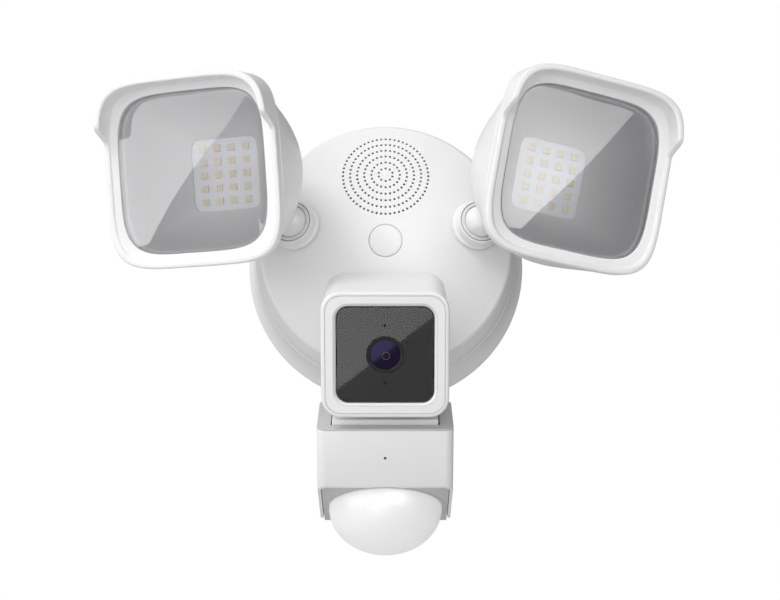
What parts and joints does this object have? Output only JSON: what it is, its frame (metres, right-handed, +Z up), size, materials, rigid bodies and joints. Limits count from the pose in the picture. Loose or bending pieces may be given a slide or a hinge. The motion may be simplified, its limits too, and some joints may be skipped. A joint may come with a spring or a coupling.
{
  "type": "floodlight security camera",
  "caption": "Wall-mounted security camera with aimable square lamp heads on a round domed base, a speaker grille, a cube camera and a box with a motion-sensor dome below it.",
  "frame": {"origin": "centre of the round wall face, on the wall plane", "axes": "+X to the right seen from the front, +Y into the wall, +Z up; the camera looks along -Y and slightly down"},
  "size_m": [0.2435, 0.1316, 0.2006],
  "materials": {
    "white_plastic": "satin white moulded plastic",
    "grey_plastic": "matt mid-grey moulded plastic",
    "clear_window": "clear polycarbonate, polished",
    "dome_plastic": "translucent white polyethylene, satin",
    "black_gloss": "gloss black window",
    "lens_glass": "coated dark lens",
    "black_plastic": "black moulded plastic",
    "reflector_white": "satin light-grey reflector",
    "led_board": "aluminium board with white solder mask",
    "circuit_board": "glass-fibre board, green solder mask",
    "component_black": "black sleeve",
    "component_yellow": "yellow winding tape",
    "zinc_steel": "zinc-plated steel",
    "aluminium": "plain extruded aluminium",
    "soft_rubber": "black rubber",
    "white_rubber": "white silicone rubber",
    "nylon": "natural nylon"
  },
  "bodies": {
    "base": {"rear_housing": "white_plastic", "front_cover": "white_plastic", "wall_gasket": "soft_rubber", "mounting_bracket": "zinc_steel", "cable_grommet": "soft_rubber", "arm_pin": "zinc_steel", "case_screw_1": "zinc_steel", "case_screw_2": "zinc_steel", "case_screw_3": "zinc_steel", "hanging_screw": "zinc_steel", "power_board": "circuit_board", "control_board": "circuit_board", "transformer": "component_yellow", "filter_capacitor": "component_black", "speaker_seal": "soft_rubber", "speaker_basket": "black_plastic", "speaker_cone": "soft_rubber", "speaker_magnet": "zinc_steel", "lamp_collar_left": "white_plastic", "lamp_collar_right": "white_plastic", "collar_nut_left": "nylon", "collar_nut_right": "nylon"},
    "plug": {"screw_plug": "white_rubber"},
    "swivel_left": {"swivel_cup_left": "nylon"},
    "stud_left": {"ball_stud_left": "white_plastic"},
    "head_left": {"head_shell_left": "white_plastic", "head_frame_left": "white_plastic", "lamp_window_left": "clear_window", "reflector_left": "reflector_white", "led_board_left": "led_board", "heat_sink_left": "aluminium", "neck_clip_left": "zinc_steel"},
    "swivel_right": {"swivel_cup_right": "nylon"},
    "stud_right": {"ball_stud_right": "white_plastic"},
    "head_right": {"head_shell_right": "white_plastic", "head_frame_right": "white_plastic", "lamp_window_right": "clear_window", "reflector_right": "reflector_white", "led_board_right": "led_board", "heat_sink_right": "aluminium", "neck_clip_right": "zinc_steel"},
    "arm": {"sensor_arm": "white_plastic"},
    "sensor_box": {"sensor_shell": "white_plastic", "sensor_lid": "grey_plastic", "sensor_core": "grey_plastic", "sensor_dome": "dome_plastic", "sensor_board": "circuit_board", "heat_sensor": "zinc_steel", "camera_foot": "white_plastic", "pan_pin": "zinc_steel"},
    "camera": {"camera_shell": "white_plastic", "camera_bezel": "white_plastic", "camera_window": "black_gloss", "lens_ring": "black_plastic", "front_lens": "lens_glass", "lens_barrel": "black_plastic", "image_board": "circuit_board", "camera_main_board": "circuit_board", "hinge_saddle": "zinc_steel", "camera_hinge_pin": "zinc_steel"}
  },
  "joints": [
    {"name": "plug_pull", "type": "slide", "parent": "base", "child": "plug", "axis": [0, -1, 0], "range_m": [0, 0.02]},
    {"name": "lamp_swivel_left", "type": "hinge", "parent": "base", "child": "swivel_left", "pos_m": [-0.0415, -0.05313, 0.00853], "axis": [-0.2923, -0.9544, 0.0601], "range_deg": [-20, 20]},
    {"name": "lamp_tilt_left", "type": "hinge", "parent": "swivel_left", "child": "stud_left", "pos_m": [-0.0415, -0.05313, 0.00853], "axis": [-0.1189, -0.0261, -0.9926], "range_deg": [-10, 10]},
    {"name": "lamp_spin_left", "type": "hinge", "parent": "stud_left", "child": "head_left", "pos_m": [-0.0415, -0.05313, 0.00853], "axis": [-0.5774, -0.8114, 0.0905], "range_deg": [-20, 20]},
    {"name": "lamp_swivel_right", "type": "hinge", "parent": "base", "child": "swivel_right", "pos_m": [0.0415, -0.05313, 0.00853], "axis": [0.2923, -0.9544, 0.0601], "range_deg": [-20, 20]},
    {"name": "lamp_tilt_right", "type": "hinge", "parent": "swivel_right", "child": "stud_right", "pos_m": [0.0415, -0.05313, 0.00853], "axis": [-0.1371, 0.0204, 0.9903], "range_deg": [-10, 10]},
    {"name": "lamp_spin_right", "type": "hinge", "parent": "stud_right", "child": "head_right", "pos_m": [0.0415, -0.05313, 0.00853], "axis": [0.5889, -0.8023, 0.098], "range_deg": [-20, 20]},
    {"name": "arm_tilt", "type": "hinge", "parent": "base", "child": "arm", "pos_m": [0, -0.04, -0.07], "axis": [1, 0, 0], "range_deg": [-8, 8]},
    {"name": "arm_pan", "type": "hinge", "parent": "arm", "child": "sensor_box", "pos_m": [0, -0.04913, -0.08052], "axis": [0, -0.4695, 0.8829], "range_deg": [-12, 12]},
    {"name": "camera_tilt", "type": "hinge", "parent": "sensor_box", "child": "camera", "pos_m": [0, -0.08258, -0.07214], "axis": [1, 0, 0], "range_deg": [-4, 10]}
  ]
}
